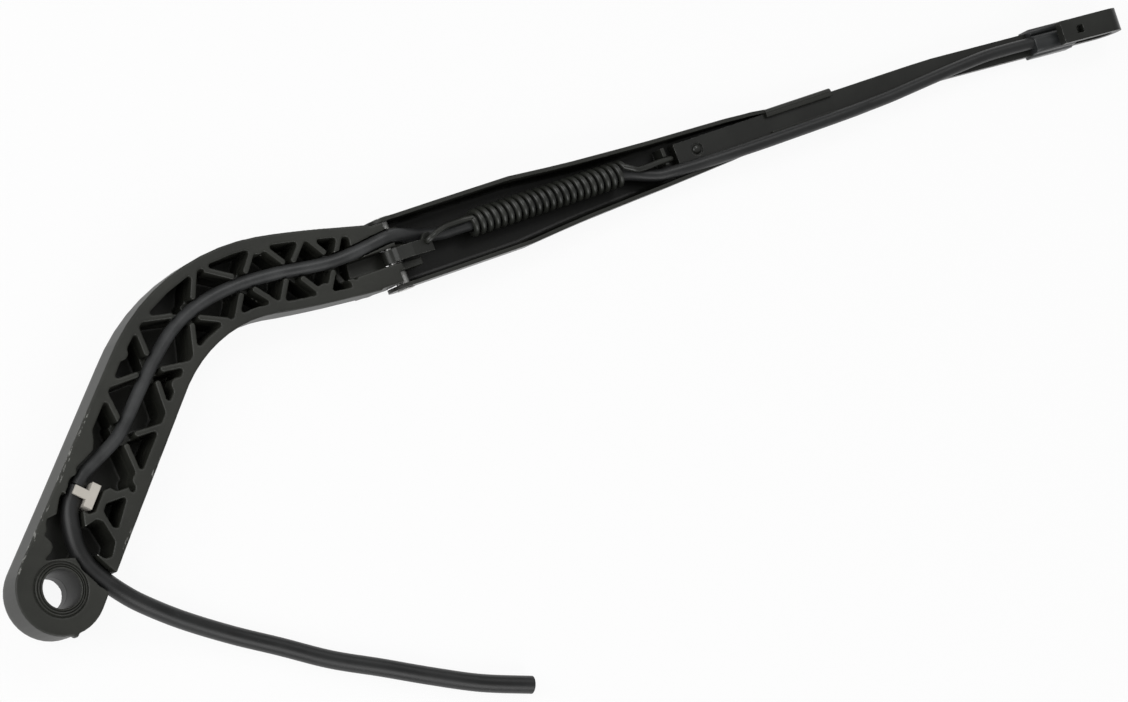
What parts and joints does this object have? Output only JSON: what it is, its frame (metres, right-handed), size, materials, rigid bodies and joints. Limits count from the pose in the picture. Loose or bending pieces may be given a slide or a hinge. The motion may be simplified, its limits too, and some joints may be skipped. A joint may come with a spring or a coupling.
{
  "type": "windscreen wiper arm",
  "caption": "Windscreen wiper arm with a curved cast head, sprung folding arm, washer hose and hooked end for a blade.",
  "frame": {"origin": "centre of the spindle bore at the outer face of the head", "axes": "+X along the straight channel and rod to the hooked tip, +Y across the arm, +Z out of the underside, so the outer face lies on Z = 0"},
  "size_m": [0.5524, 0.1976, 0.0187],
  "materials": {
    "cast_black": "satin black coat over a die casting, worn to metal on its rims",
    "pin_steel": "bare steel",
    "painted_steel": "satin black paint on pressed steel",
    "spring_wire": "black coated wire",
    "clip_plastic": "matt pale plastic",
    "hose_rubber": "smooth rubber",
    "sleeve_plastic": "dark soft plastic with a gloss"
  },
  "bodies": {
    "head": {"arm_head": "cast_black", "spring_pin": "pin_steel", "hose_clip": "clip_plastic", "feed_hose": "hose_rubber"},
    "arm": {"arm_channel": "painted_steel", "pivot_pin": "pin_steel", "arm_rod": "painted_steel", "rod_rivet": "painted_steel", "arm_hose": "hose_rubber", "tip_sleeve": "sleeve_plastic"},
    "spring_set": {"spring_link": "painted_steel", "spring": "spring_wire"}
  },
  "joints": [
    {"name": "arm_lift", "type": "hinge", "parent": "head", "child": "arm", "pos_m": [0.1765, 0.0766, 0.007], "axis": [0, 1, 0], "range_deg": [0, 50], "stiffness_Nm_per_rad": 2, "springref_deg": -74.48, "deforming": ["arm_hose"]},
    {"name": "spring_turn", "type": "hinge", "parent": "head", "child": "spring_set", "pos_m": [0.1715, 0.0752, 0.0142], "axis": [0, 1, 0], "range_deg": [0, 48], "deforming": ["spring"]}
  ],
  "couplings": [
    {"joint": "spring_turn", "follows": "arm_lift", "ratio": 0.945}
  ]
}
